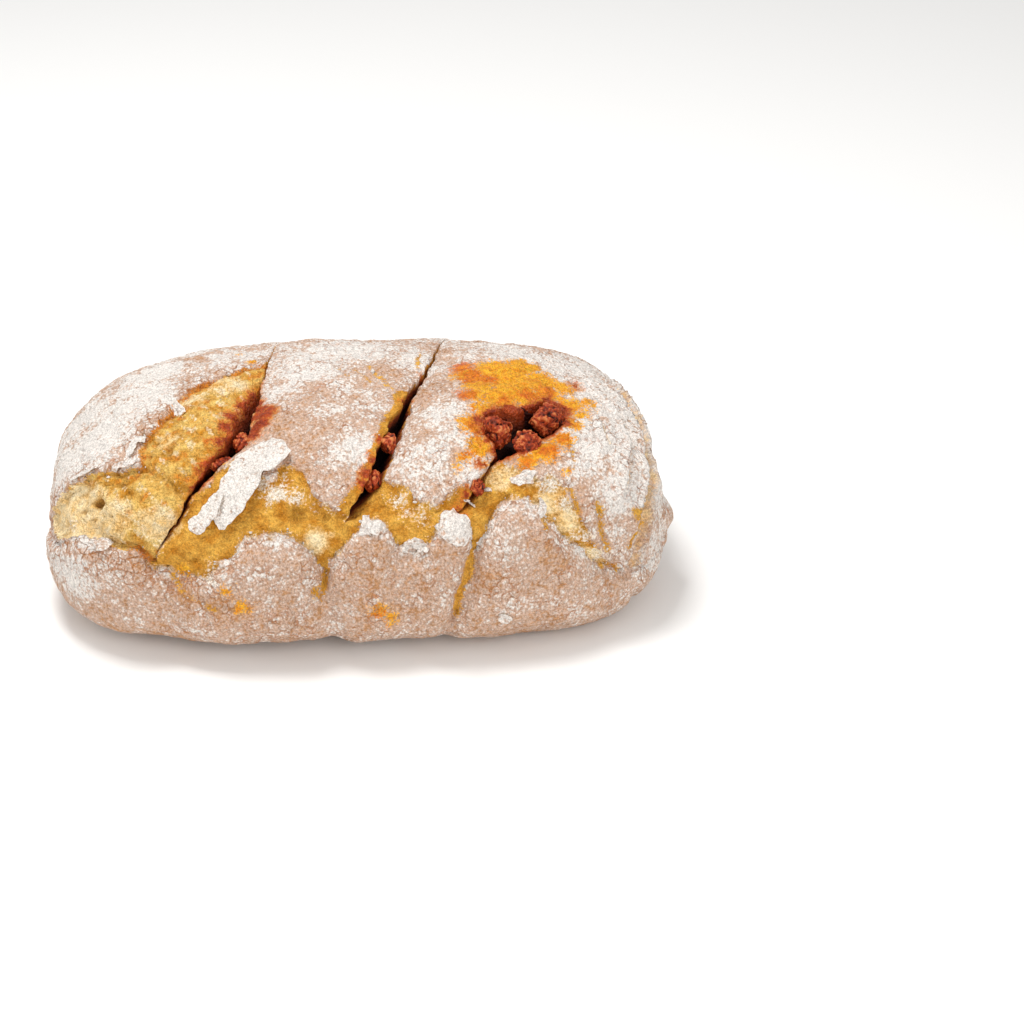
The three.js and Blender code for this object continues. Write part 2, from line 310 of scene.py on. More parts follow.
# Furrows in the skin: a chain of (x, phi), half width and depth; a negative depth is a raised fold.
# Half of them gather towards the end that was pinched shut.
FURROWS = [
    ([(-10.5, 15), (-12, 5), (-15.5, 7.5)], 1.1, 1.7), ([(41, 20), (38, 9), (33, -6)], 1.3, 1.7),
    ([(-18, 35), (-6, 31), (0, 29)], 0.8, 0.6), ([(77, 38), (81, 27), (86, 16), (90, 4)], 1.0, 1.3),
    ([(87, 33), (89, 22), (91, 14), (96, 5)], 1.0, 1.3), ([(79, 53), (78, 43)], 0.8, 0.8),
    ([(81, 62), (83, 52)], 0.8, 0.6), ([(-63, 73), (-68, 64)], 0.8, 0.8), ([(-20, 22), (-14, 13)], 0.7, 0.6),
    ([(8, 24), (14, 14)], 0.8, 0.6), ([(-24, 7), (-23.3, -9)], 0.6, -0.9),
    ([(-22.6, 6), (-22, -9)], 0.5, 0.7),
    ([(-64, 9), (-52, 3), (-44, 3)], 1.2, 0.8), ([(50, -4), (58, -12)], 1.0, 0.5),
    ([(85, 92), (93, 82), (95, 66), (95.5, 52)], 0.9, 0.9), ([(82, 86), (86, 72), (88, 58)], 0.9, 0.8),
    ([(100, 112), (108, 128), (109, 150)], 1.5, 1.6), ([(90, 120), (99, 134), (102, 155)], 1.3, 1.2),
    ([(98, 0), (102, -12), (100, -25)], 1.2, 1.2), ([(88, -4), (92, -18)], 1.0, 0.8),
]
# Where the dough was gathered to be pinched, one fold laps over the next: height, (phi, x) down it.
PLEATS = [
    (3.2, [(134, 90), (112, 95), (98, 99), (80, 104), (60, 105.5), (40, 105), (22, 101), (8, 97)]),
    (2.4, [(122, 82), (108, 87), (92, 92), (74, 98), (56, 99.5), (40, 97.5), (26, 93)]),
    (-2.8, [(150, 97), (124, 103), (100, 106), (80, 109), (60, 109.5),
            (40, 109), (20, 106), (4, 101), (-10, 97)]),
    (1.8, [(98, 82), (84, 85), (70, 89), (56, 91.5), (44, 91)]),
    (-2.0, [(20, 99), (8, 95), (-6, 92), (-16, 93)]),
]
pleat_line = np.full(x.shape, OUTSIDE)
for tall, line in PLEATS:
    line_phi, line_x = np.array(sorted(line), float).T
    gap = x + 0.8 * noise(point, 7, 43) - np.interp(phi, line_phi, line_x)
    gap *= np.sign(tall)
    reach = smooth(phi, line_phi[0], line_phi[0] + 16) * (1 - smooth(phi, line_phi[-1] - 40, line_phi[-1]))
    step_down = np.exp(-gap / 0.5) - 0.4 * bump(gap - 1.4, 1.2)
    relief += abs(tall) * reach * np.where(gap < 0, np.exp(gap / 4.0), step_down)
    pleat_line = np.maximum(pleat_line, 2.4 * reach - 1.5 - np.abs(gap - 0.9) + 0.5 * noise(point, 4, 44))
drift_x, drift_phi = x + 1.1 * noise(point, 9, 32), phi + 1.4 * noise(point, 11, 33)
for line, half, deep in FURROWS:
    relief -= deep * bump(to_line(line, drift_x, drift_phi), half)
wave = (x + 2.6 * noise(point, 16, 9) - 0.05 * (phi - 40)) / 4.6
gathers = 1 - np.abs(np.sin(np.pi * wave)) ** 0.6
puckered = smooth(x, 84, 104) * smooth(phi, -20, 15) * (1 - smooth(phi, 120, 170))
relief -= 1.1 * puckered * gathers * (0.5 + 0.7 * noise(point, 20, 10))
spokes = 1 - np.abs(np.sin(np.radians(phi) * 4.5 + 2.0 * noise(point, 24, 48)))
at_pinch = smooth(x, 98, 109) * (1 - smooth(x, 111.0, 112.8)) * (phi < 250) * (phi > -60)
relief += 1.6 * (spokes - 0.5) * at_pinch  # creases run in to the pinch
lumpy = 0.8 * noise(point, 26, 13) + 0.7 * noise(point, 10, 14) + 0.36 * noise(point, 3.6, 15)
relief += lumpy * (torn < 2) + 0.14 * noise(point, 1.9, 42)
crackle = np.abs(noise(point, 5, 16) + 0.5 * noise(point, 2.4, 17))
patchy = smooth(noise(point, 11, 25), -0.3, 0.3)
relief -= 0.45 * bump(crackle, 0.10) * (torn < 0) * (band < 0) * patchy
wrinkles = np.abs(noise(np.stack([(x + 0.9 * v) / 2.2, (v - 0.9 * x) / 12, 0 * x], -1), 1, 34))
relief -= 0.35 * bump(wrinkles, 0.12) * smooth(v, 62, 80) * (torn < 0)

# The slashes themselves: steep walls to a rounded floor, shoulders rounding down to each lip.
side = np.zeros_like(point)
in_cut = np.zeros_like(x)
skin = relief.copy()  # the skin as it would be with no cuts in it
for name in SLASHES:
    line_x, left, right, depth, lean, slope = slash_values(name, phi)
    gap = slash_gap[name] + (0.6 * noise(point, 4, 18) + 0.3 * noise(point, 1.8, 19)) * smooth(depth, 0.5, 6)
    present = smooth(depth, 0.4, 5) * (np.abs(x - line_x) < 40)
    across = np.where(gap < 0, -gap / left, gap / right)
    sunk = depth * (1 - np.clip(across, 0, 1) ** 2.2) * (phi < 141) * (phi > 18)
    beyond = np.maximum(np.where(gap < 0, -gap - left, gap - right), 0)
    tight, wide = np.where(gap < 0, 0.7, 1.7), np.where(gap < 0, 1.6, 2.4)
    shoulder = present * (tight * bump(beyond, 2.6) + wide * bump(beyond, 11))
    skin -= shoulder
    relief -= shoulder + sunk
    to_right = unit(along - up * slope[..., None])
    side -= to_right * (lean * sunk)[..., None]
    in_cut = np.maximum(in_cut, sunk)

place = point + out * relief[..., None] + side
PINCH_Y, PINCH_Z, PINCH_OUT, PINCH_FROM = -20.0, 27.0, 6.0, 92.0  # as in the CAD
PINCH_DEEP, PINCH_TALL = 11.0, 7.5  # half sizes of the knob, across y and up
pinch = ((place[..., 1] - PINCH_Y) / PINCH_DEEP) ** 2 + ((place[..., 2] - PINCH_Z) / PINCH_TALL) ** 2
place[..., 0] += PINCH_OUT * np.clip((x - PINCH_FROM) / (RIGHT - PINCH_FROM), 0, 1) * np.exp(-pinch)
place[..., 2] = np.maximum(place[..., 2], 0)


def make_piece(name, points, quads, triangles=()):
    """A smooth-shaded object of that name from points in the loaf's own millimetres."""
    mesh = bpy.data.meshes.new(name)
    mesh.from_pydata(((points + SHIFT) * MM).tolist(), [], quads.tolist() + [list(t) for t in triangles])
    mesh.polygons.foreach_set("use_smooth", np.ones(len(mesh.polygons), bool))
    mesh.validate()
    made = bpy.data.objects.new(name, mesh)
    bpy.context.scene.collection.objects.link(made)
    return made


def ring_faces(rows, columns):
    """Quads of a grid whose last column joins its first, and triangles to a pole at each end."""
    i, j = np.meshgrid(np.arange(rows - 1), np.arange(columns), indexing="ij")
    k = (j + 1) % columns
    quads = np.stack([i * columns + j, (i + 1) * columns + j, (i + 1) * columns + k, i * columns + k], -1)
    first, last, ring = rows * columns, rows * columns + 1, np.arange(columns)
    after, base = (ring + 1) % columns, (rows - 1) * columns
    caps = [*zip([first] * columns, ring, after), *zip([last] * columns, base + after, base + ring)]
    return quads.reshape(-1, 4), [tuple(int(n) for n in cap) for cap in caps]


ends = [place[0].mean(axis=0), place[-1].mean(axis=0)]
quads, caps = ring_faces(ROWS, COLUMNS)
loaf = make_piece("loaf_baked", np.vstack([place.reshape(-1, 3), ends]), quads, caps)

# What shows at each place, as masks in millimetres, positive inside. Bare crumb shows in the band,
# on the torn face, on the middle slash's left lip and in the cuts.
lip_width = 2.6 + 0.8 * noise(point, 8, 35)
left_lip = np.where((phi < 84) & (phi > 26), lip_width - np.abs(slash_gap["middle"] + 2.6), OUTSIDE)
bare = np.maximum.reduce([band, torn, left_lip, np.where(in_cut > 0.3, 3.0, OUTSIDE)])
SEAMS = [  # and in thin lines where the skin pulled apart: a chain of (x, phi) and half width
    ([(41, 16), (38, 8), (35, -3)], 1.5), ([(-11, 10), (-12, 4), (-15, 6)], 1.1),
    ([(77, 36), (81, 26), (86, 16), (90, 5)], 1.0), ([(87, 32), (89, 22), (91, 13)], 0.9),
    ([(100, 29), (103.5, 21), (99, 12)], 1.3), ([(79, 53), (78, 44)], 0.5),
    ([(-66, 11), (-60, 5), (-50, 2)], 0.7), ([(27, 112), (25, 101)], 0.7), ([(66, 31), (67, 24)], 0.8),
    ([(2, 98), (8, 89)], 0.35), ([(7, 99), (13, 87)], 0.5), ([(12, 93), (16, 83)], 0.4),
    ([(-6, 101), (0, 93)], 0.3),
]
for line, half in SEAMS:
    bare = np.maximum(bare, half + 0.5 * noise(point, 3, 40) - to_line(line, drift_x, drift_phi))
OIL = [  # x, phi, radius of each place where paprika oil soaked the skin
    (43, 93, 6), (47, 86, 7), (46, 77, 5), (54, 97, 8), (60, 88, 10), (55, 78, 8), (64, 100, 8), (70, 90, 8),
    (64, 78, 8), (72, 82, 6), (78, 87, 5), (80, 76, 5), (84, 70, 4), (87, 77, 3), (80, 63, 3.5),
    (63, 47, 4.4), (69, 50, 5.5), (75, 55, 5), (43, 61, 5.5), (46, 53, 5.5), (41, 48, 2.6), (48, 69, 5),
    (47, 46, 2), (76, 43, 1.2),
    (7, 1, 3.2), (11, -3, 2.4), (-45, 9, 2.0), (-40, 3, 2.2), (-62, 13, 3), (38, 44, 1.6), (-42, 121, 1.5),
    (-37, 110, 1.6),
]
DEEP = [  # and where it pooled, deeper in colour
    (42, 99, 5), (45, 91, 6), (51, 90, 4), (42, 77, 4), (44, 60, 4), (42, 49, 2), (71, 50, 3.4),
    (62, 46, 2.6), (75, 55, 3), (72, 84, 4), (56, 76, 3), (46, 66, 3), (66, 80, 4), (7, 0, 2),
]
PALE = [  # and crumb painted pale: where it stretched thin, along the middle slash's left lip, and at the far left end as painted light
    (-104, 38, 15), (-92, 30, 10), (-84, 34, 5), (-66, 62, 3), (-58, 84, 5), (-44, 92, 5), (-70, 30, 6),
    (64, 43, 5), (70, 33, 5), (76, 26, 5), (88, 12, 5), (54, 42, 4), (-14, 22, 4),
    (4, 45, 3.4), (7, 50, 3), (10, 58, 3.2), (14, 66, 3.2), (18, 76, 2.8),
    # These three, with the first entry, lighten the far left end of the torn face, which lies in shade:
    # painted light.
    (-112, 30, 14), (-108, 46, 9), (-110, 20, 8),
]
STAINS = [  # and where red-brown juice ran out of the cuts
    (-34.5, 84, 2.4), (-33.5, 78, 3.4), (-32.5, 72, 4), (-33.5, 66, 3.8), (-35, 61, 3), (-45, 66, 2.6),
    (-43, 73, 2.6), (-40, 80, 2.4), (-48, 59, 2.2), (-53, 50, 2), (-58, 42, 1.2), (5, 44, 2.2),
    (3.5, 39, 2.2), (11, 56, 1.8), (8, 49, 1.8),
    (20, 78, 1.4), (27, 98, 1.0), (40, 35, 2), (37, 31, 1.4), (46, 46, 1.6), (45, 64, 2.4), (48, 55, 2.2),
    (82.5, 93, 1.4), (83.5, 90, 0.9), (-30, 74, 2.0), (-40, 58, 1.6), (-37, 62, 2.0),
]
DUST = [  # and patches of loose flour on the bare crumb
    (-32, 41, 3.5), (-27, 38, 4.5), (-20, 36, 3.6), (-24, 41, 3), (15, 35, 2.6), (19, 31, 3.0), (24, 28, 2.0),
    (70, 38, 4), (76, 31, 3), (83, 20, 3.4), (89, 11, 3), (-52, 12, 3), (-104, 30, 3), (-14, 33, 1.6),
    (66, 30, 2),
]
THICK = [  # and where the flour lies thickest; at the right end's folds it is made heavier as painted light
    (-84, 95, 18), (-94, 72, 14), (-104, 62, 9), (-74, 112, 11), (-45, 118, 7), (-16, 104, 14),
    (-22, 84, 7), (2, 118, 14), (-8, 70, 6), (1, 53, 6), (-90, 56, 6), (-79, 52, 4), (26, 106, 8),
    # The blots at x = 102 to 106 lie on the right end's folds and are heavier there to lighten their shade:
    # painted light.
    (55, 116, 14), (34, 66, 7), (27, 47, 7), (42, 42, 4), (88, 58, 13), (106, 50, 14), (102, 92, 16),
    (92, 122, 14), (97, 84, 17), (-100, 100, 14), (-62, 134, 12), (104, 60, 12), (103, 36, 10),
    (92, 34, 6), (82, 45, 5), (80, 104, 14), (5, 26, 3), (34, 27, 5), (60, 32, 3), (-30, 24, 4),
    (-97, 24, 6), (-100, 8, 12), (-86, 14, 7), (20, 17, 3), (58, 24, 3), (-46, 14, 3),
]
THIN = [  # and where it is thin, so that the baked skin shows through
    (-14, 80, 9), (-4, 62, 9), (-3, 43, 6), (-10, 34, 5), (-19, 58, 9), (-16, 47, 6), (-8, 72, 6),
    (-27, 66, 5), (6, 86, 4), (8, 96, 5), (30, 84, 7), (38, 74, 5), (27, 58, 4), (38, 48, 4),
    (-81, 60, 4), (-73, 66, 4), (-72, 74, 3), (-84, 52, 2.5),
    (-34, 20, 5), (-20, 22, 4), (-73, 16, 5), (-60, 7, 5), (-48, 4, 5), (2, 21, 4), (1, 11, 5), (61, 22, 4),
    (-49, 103, 3), (-57, 120, 4), (73, 48, 4), (46, 8, 5), (70, 12, 6), (-90, 12, 4), (22, 8, 4),
]
fray_x, fray_phi = ragged_x + 1.1 * noise(point, 2.2, 36), ragged_phi + 1.1 * noise(point, 2.2, 37)
calm_x, calm_phi = (x + fray_x) / 2, (phi + fray_phi) / 2
from_skin = np.where(above_skin > 0, 10 - above_skin, OUTSIDE)
from_lobe = np.where((below_lobe > 0) & (phi < 60), 11 + 12 * smooth(-x, 30, 50) - below_lobe, OUTSIDE)
crackled = np.maximum.reduce([16 + np.minimum(torn, 0), from_skin, from_lobe]) + 7 * noise(point, 13, 45)
lobe_rim = 2.0 + 3.5 * noise(point, 7, 47) - 1.6 * np.abs(below_lobe - 1.6) - 9 * (phi > 60)
hole_rim = 2.4 - np.abs(hole - 0.6) + 1.6 * noise(point, 5, 39)
rim_gap = slash_gap["left"] + slash_values("left", phi)[1] - 0.6
left_rim = 1.5 + 1.4 * noise(point, 6, 41) - np.abs(rim_gap) - 0.25 * np.maximum(np.abs(phi - 66) - 22, 0)
rim_toast = 2.1 - 2 * np.abs(torn - 0.5) + 2.6 * noise(point, 8, 38)
MASKS = {
    "bare": bare,
    "torn": torn,
    "oil": blots(OIL, calm_x, calm_phi),
    "stain": np.maximum.reduce([blots(STAINS, fray_x, fray_phi), hole_rim, left_rim]),
    "dust": np.maximum(blots(DUST, fray_x, fray_phi), np.where(band > -0.5, 0.6 - band, OUTSIDE)),
    "deep": blots(DEEP, calm_x, calm_phi),
    "pale": np.where(np.maximum(torn, band) > -0.4, blots(PALE, fray_x, fray_phi), OUTSIDE),
    "thick": np.maximum(blots(THICK, x, phi), lobe_rim),
    "thin": blots(THIN, fray_x, fray_phi),
    "crackled": crackled,
    "freckle": 6 * noise(point, 3.2, 46) - 1.7 - 6 * (torn < 0.8),
    "streak": 9 * np.maximum(fibres, 0) * smooth(torn, 1, 4) - 2.0,
    "toast": rim_toast - 2 * (torn < -1.5) - 6 * smooth(-x, 76, 88),
    "under": 6 * smooth(below_lobe, -1, 2) * (phi < 50) - 3,
    # How deep the cuts and the hole go: this gives their juice-red walls and the painted shade that blackens
    # them deep down.
    "cut": np.maximum(in_cut, smooth(hole, -0.5, 3.0) * 13),
    "pleat": pleat_line,
    # Burst pores and the torn face's crease, which the colour darkens as painted shade.
    "pore": np.maximum(pore, 1.4 * bump(crease, 0.9) * (torn > 0)),
    "sole": 4 - place[..., 2],
}


def paint(piece, masks, count):
    """Stores each mask on the piece's points; they all lie far outside one that isn't given."""
    for name in MASKS:
        attribute = piece.data.attributes.new(name, "FLOAT", "POINT")
        attribute.data.foreach_set("value", masks.get(name, np.full(count, OUTSIDE)).astype(np.float32))


paint(loaf, {name: np.r_[m.ravel(), m[0, 0], m[-1, 0]] for name, m in MASKS.items()}, x.size + 2)


def colour(hex_code):
    """An sRGB hex colour as linear red, green, blue and alpha."""
    srgb = np.array([int(hex_code[i:i + 2], 16) for i in (1, 3, 5)]) / 255
    linear = np.where(srgb <= 0.04045, srgb / 12.92, ((srgb + 0.055) / 1.055) ** 2.4)
    return (*linear.tolist(), 1.0)


def add(tree, kind, inputs, **settings):
    """Adds a node: settings become its properties, and each input is a value or a socket to link."""
    made = tree.nodes.new(kind)
    for name, value in settings.items():
        setattr(made, name, value)
    for name, value in inputs.items():
        if isinstance(value, bpy.types.NodeSocket):
            tree.links.new(value, made.inputs[name])
        else:
            made.inputs[name].default_value = value
    return made


# Floured crust: matt baked dough under a film of wheat flour that crackled as the loaf grew. Thick
# flour is white, thin flour lets tan skin through in specks and cracks, bare crumb is golden, and
# where oil and meat juice soaked in it is orange to red-brown. Deep in the cuts and the hole it is
# painted near-black, and burst pores and the torn face's crease are painted darker: painted shade.
crust = bpy.data.materials.new("floured bread crust")
crust.use_nodes = True
tree = crust.node_tree
shader = tree.nodes["Principled BSDF"]
where = add(tree, "ShaderNodeTexCoord", {}).outputs["Object"]
mask = {name: add(tree, "ShaderNodeAttribute", {}, attribute_name=name).outputs["Fac"] for name in MASKS}
SIZES = {  # millimetres across, and how many finer layers each cloud has
    "patch": (17, 3), "blotch": (6, 3), "ragged": (5, 5),
    "mottle": (2.2, 3), "speck": (0.9, 2), "grain": (0.5, 1),
}
cloud = {}
for name, (size, layers) in SIZES.items():
    settings = {"Vector": where, "Scale": 1 / (size * MM), "Detail": layers, "Roughness": 0.6}
    cloud[name] = add(tree, "ShaderNodeTexNoise", settings).outputs["Fac"]

# Cracks run between warped cells of crust, mostly near the torn edges.
SWAY_SIZE, SWAY, CRACK_CELL, GRAIN_CELL, CLOT_CELL = 3.0 * MM, 4.0 * MM, 4.2 * MM, 1.25 * MM, 2.9 * MM
sway = add(tree, "ShaderNodeTexNoise", {"Vector": where, "Scale": 1 / SWAY_SIZE, "Detail": 3.0})
sway = {0: sway.outputs["Color"], 1: (SWAY, SWAY, SWAY), 2: where}
sway = add(tree, "ShaderNodeVectorMath", sway, operation="MULTIPLY_ADD").outputs[0]
cells = {"Vector": sway, "Scale": 1 / CRACK_CELL}
cells = add(tree, "ShaderNodeTexVoronoi", cells, feature="DISTANCE_TO_EDGE")
crack = {"Value": cells.outputs["Distance"], "From Max": 0.09, "To Min": 1.0, "To Max": 0.0}
crack = add(tree, "ShaderNodeMapRange", crack).outputs[0]
some = {0: cloud["blotch"], 1: 60.0, 2: mask["crackled"]}
some = add(tree, "ShaderNodeMath", some, operation="MULTIPLY_ADD").outputs[0]
some = add(tree, "ShaderNodeMapRange", {"Value": some, "From Min": 33.0, "From Max": 48.0}).outputs[0]
crack = add(tree, "ShaderNodeMath", {0: crack, 1: some}, operation="MULTIPLY").outputs[0]

# Flour clots in grains: each cell is high in its middle. Real grains of flour, about 0.05 mm across,
# are too fine to show, so these are drawn as coarse as they need to show, 1.25 and 2.9 mm across.
grains, clots = (
    add(tree, "ShaderNodeTexVoronoi", {"Vector": vector, "Scale": 1 / cell}, feature="F1").outputs["Distance"]
    for vector, cell in ((where, GRAIN_CELL), (sway, CLOT_CELL))
)

# How much flour lies on the skin: heaped in some places, thin in others and in cracks.
amount = {"Value": mask["thick"], "From Min": -5, "From Max": 4, "To Max": 0.42}
amount = add(tree, "ShaderNodeMapRange", amount).outputs[0]
thin = add(tree, "ShaderNodeMapRange", {"Value": mask["thin"], "From Min": -3, "From Max": 3}).outputs[0]
FLOUR = (
    (1.3, cloud["patch"]), (1.2, cloud["blotch"]), (0.9, cloud["speck"]), (-0.75, grains), (-0.5, clots),
    (-0.029, mask["under"]), (-0.35, crack), (-0.25, thin),
)
for share, part in FLOUR:
    amount = {0: part, 1: share, 2: amount}
    amount = add(tree, "ShaderNodeMath", amount, operation="MULTIPLY_ADD").outputs[0]
film = add(tree, "ShaderNodeMapRange", {"Value": amount, "From Min": 0.5, "From Max": 0.82}).outputs[0]
heap = add(tree, "ShaderNodeMapRange", {"Value": amount, "From Min": 1.02, "From Max": 1.42}).outputs[0]
mix = {"data_type": "RGBA"}
tan = {0: cloud["mottle"], 6: colour("#AE7646"), 7: colour("#D6A880")}
tan = add(tree, "ShaderNodeMix", tan, **mix).outputs[2]
surface = add(tree, "ShaderNodeMix", {0: film, 6: tan, 7: colour("#CFAE98")}, **mix).outputs[2]
surface = add(tree, "ShaderNodeMix", {0: heap, 6: surface, 7: colour("#EDE5DD")}, **mix).outputs[2]
crack_tone = add(tree, "ShaderNodeMath", {0: crack, 1: 0.65}, operation="MULTIPLY").outputs[0]
surface = add(tree, "ShaderNodeMix", {0: crack_tone, 6: surface, 7: colour("#B56A2E")}, **mix).outputs[2]

# What lies over that, in order: the mask, how many millimetres its edge strays, where it starts and
# is full, its strength, its two colours and the cloud that mottles them.
LAYERS = [
    ("sole", 6.0, -2.0, 3.0, 0.6, "#9C6A3C", "#C99C6B", "ragged"),
    ("pleat", 2.5, -0.2, 0.8, 0.8, "#C98C48", "#EBC88E", "ragged"),
    ("bare", 5.0, -0.3, 0.5, 1.0, "#B97512", "#E4AC48", "ragged"),
    ("torn", 2.0, -0.2, 0.6, 0.9, "#C98418", "#F0C870", "ragged"),
    ("freckle", 2.0, -0.6, 1.0, 0.75, "#CF6C14", "#E29A30", "mottle"),
    ("pale", 8.0, -2.5, 2.0, 0.9, "#F0C47C", "#FEEABF", "ragged"),
    ("streak", 4.0, 0.0, 2.0, 0.6, "#E9CC90", "#F8EBCF", "speck"),
    ("dust", 14.0, 0.0, 3.0, 0.9, "#E6D6C0", "#F1E8DC", "speck"),
    ("toast", 8.0, -0.3, 1.6, 0.9, "#A04C16", "#DC8420", "mottle"),
    # Inside pores and along the crease the crumb is painted darker golden-brown: painted shade in the
    # hollows.
    ("pore", 1.0, 0.3, 1.6, 0.8, "#9A6218", "#BE8A2C", "mottle"),
    ("oil", 13.0, -0.8, 1.6, 1.0, "#E28A0A", "#F5B526", "mottle"),
    ("deep", 12.0, -1.0, 2.0, 0.9, "#C45406", "#E8820E", "mottle"),
    ("stain", 7.0, -2.2, 0.2, 0.9, "#C8601A", "#E6942E", "mottle"),
    ("stain", 6.0, -0.5, 1.0, 0.95, "#7E2208", "#B8440F", "mottle"),
    ("cut", 1.0, 0.8, 4.0, 0.95, "#74220A", "#A8461A", "blotch"),
    # Deeper than 4.5 mm the walls of the cuts and the hole turn near-black: painted shade.
    ("cut", 1.0, 4.5, 9.0, 0.97, "#180402", "#340E06", "blotch"),
]
STRAY = {"ragged": 0.7, "speck": 0.8}  # how much each cloud moves an edge
shares = {}
for name, strays, start, full, strength, dark, light, tone in LAYERS:
    edge = mask[name]
    for kind, part in STRAY.items():
        edge = {0: cloud[kind], 1: part * strays, 2: edge}
        edge = add(tree, "ShaderNodeMath", edge, operation="MULTIPLY_ADD").outputs[0]
    mean = sum(STRAY.values()) / 2 * strays  # the clouds average a half each
    span = {"Value": edge, "From Min": start + mean, "From Max": full + mean, "To Max": strength}
    shares[name] = add(tree, "ShaderNodeMapRange", span).outputs[0]
    tone = {"Value": cloud[tone], "From Min": 0.34, "From Max": 0.64}
    tone = add(tree, "ShaderNodeMapRange", tone).outputs[0]
    paint_colour = add(tree, "ShaderNodeMix", {0: tone, 6: colour(dark), 7: colour(light)}, **mix).outputs[2]
    surface = add(tree, "ShaderNodeMix", {0: shares[name], 6: surface, 7: paint_colour}, **mix).outputs[2]

# A fine grain over everything: flour and crumb are both powdery at this size.
grain = add(tree, "ShaderNodeMath", {0: cloud["grain"], 1: cloud["speck"]}, operation="ADD").outputs[0]
grain = {"Value": grain, "From Min": 0.82, "From Max": 1.18, "To Min": 0.73, "To Max": 1.1}
grain = add(tree, "ShaderNodeMapRange", grain).outputs[0]
surface = add(tree, "ShaderNodeVectorMath", {0: surface, 3: grain}, operation="SCALE").outputs[0]
tree.links.new(surface, shader.inputs["Base Color"])

wet = add(tree, "ShaderNodeMath", {0: shares["oil"], 1: shares["stain"]}, operation="MAXIMUM").outputs[0]
shine = add(tree, "ShaderNodeMapRange", {"Value": wet, "To Min": 0.88, "To Max": 0.42}).outputs[0]
tree.links.new(shine, shader.inputs["Roughness"])
height = cloud["speck"]
BUMPS = ((-0.6, grains), (-0.2, clots), (1.0, cloud["mottle"]), (3.0, cloud["ragged"]), (-0.5, crack))
for share, part in BUMPS:
    height = {0: part, 1: share, 2: height}
    height = add(tree, "ShaderNodeMath", height, operation="MULTIPLY_ADD").outputs[0]
rough = add(tree, "ShaderNodeBump", {"Height": height, "Strength": 0.9, "Distance": 1.0 * MM})
tree.links.new(rough.outputs["Normal"], shader.inputs["Normal"])
shader.inputs["IOR"].default_value = 1.45
shader.inputs["Specular IOR Level"].default_value = 0.35
loaf.data.materials.append(crust)
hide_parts("loaf")
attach(loaf, "root")


# Scales of dough: thin floured skin that peeled up beside the slash and round the torn face, and
# small clumps of wet flour that baked on at the lobes' edges. They are part of the same dough.
SCALE_ROWS, SCALE_COLUMNS = 80, 64
BARE_SIDE = 3.0  # how far inside the pale crumb's mask a scale's underside lies
ROOTED = 0.25  # millimetres that the edge growing out of the skin is sunk in it


def skin_height(x_at, phi_at):
    """The height of the skin at the grid point nearest each (x, phi), smoothed over the piece's grid."""
    column = np.abs(column_phi[:, None] - phi_at.ravel()).argmin(axis=0)
    row = np.abs(x[:, column] - x_at.ravel()).argmin(axis=0)
    found = skin[row, column].reshape(x_at.shape)
    for axis in (0, 1):
        for _ in range(6):
            found = (np.roll(found, 1, axis) + 2 * found + np.roll(found, -1, axis)) / 4
    return found


def along_edge(edge, a):
    """The places at shares a of the way along straight lines that join a list of (x, phi)."""
    knots = np.linspace(0, 1, len(edge))
    return np.stack([np.interp(a, knots, column) for column in np.array(edge, float).T], -1)


def scale_piece(name, left_edge, right_edge, thick, lift, flour, seed, ragged=0.8):
    """A closed scale of dough between two edges, each a list of (x, phi) from one end to the other.
    Round each cross-section the cosine goes from the left edge to the right and the sine from the
    underside to the top. The left edge grows out of the skin and the right one stands off it by
    lift; ragged sets how far the outline and the thickness stray. Its underside is bare dough."""
    a = np.linspace(0, 1, SCALE_ROWS)
    left, right = along_edge(left_edge, a), along_edge(right_edge, a)
    angle = np.arange(SCALE_COLUMNS) * 2 * np.pi / SCALE_COLUMNS
    across, upward = np.cos(angle)[None, :, None], np.sin(angle)[None, :]
    middle, half = (left + right)[:, None] / 2, (right - left)[:, None] / 2
    taper = (1 - np.abs(2 * a - 1) ** 5)[:, None] ** 0.5
    flat = middle + half * across * taper[..., None]
    spot = np.stack([flat[..., 0], flat[..., 1], 0 * flat[..., 0]], -1)
    flat = flat + ragged * np.stack([noise(spot, 5, seed) + 0.6 * noise(spot, 1.9, seed + 1),
                                     noise(spot, 5, seed + 2) + 0.6 * noise(spot, 1.9, seed + 3)], -1)
    base, _, _, outward = skin_frame(flat[..., 0], flat[..., 1])
    waves = 1 + 0.7 * noise(base, 6, seed + 4)
    off = lift * waves * smooth(across[..., 0], -0.5, 1.0) - ROOTED * (across[..., 0] < 0)
    uneven = 1 + 0.4 * ragged * noise(base, 2.2, seed + 5)
    body = 0.5 * thick * np.sign(upward) * np.abs(upward) ** 0.5 * uneven
    height = (off + body + 0.5 * thick) * taper ** 0.7
    shape = base + outward * (skin_height(flat[..., 0], flat[..., 1]) + height)[..., None]
    points = np.vstack([shape.reshape(-1, 3), [shape[0].mean(axis=0), shape[-1].mean(axis=0)]])
    quads, caps = ring_faces(SCALE_ROWS, SCALE_COLUMNS)
    made = make_piece(name, points, quads, caps)
    made.data.materials.append(crust)
    bare_side = np.append(np.where(body < 0, BARE_SIDE, OUTSIDE).ravel(), [OUTSIDE, OUTSIDE])
    paint(made, {"thick": np.full(len(points), flour), "pale": bare_side}, len(points))
    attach(made, "root")


scale_piece("peeled_skin",
            [(-33, 59), (-38, 55), (-43, 50), (-46, 45), (-49, 40), (-51, 36), (-51, 32), (-50, 27.5)],
            [(-24, 57), (-20, 50), (-26, 46), (-32, 43.5), (-34, 39), (-38, 34), (-42, 30), (-46, 26)],
            0.8, 2.2, 1.2, 50)
scale_piece("peeled_skin_tip",
            [(-49, 41), (-53, 36), (-56, 32), (-60, 30), (-59, 26)],
            [(-44, 39), (-47, 35), (-49, 31.5), (-52, 28.5), (-54, 25)], 0.8, 1.3, 1.2, 60)
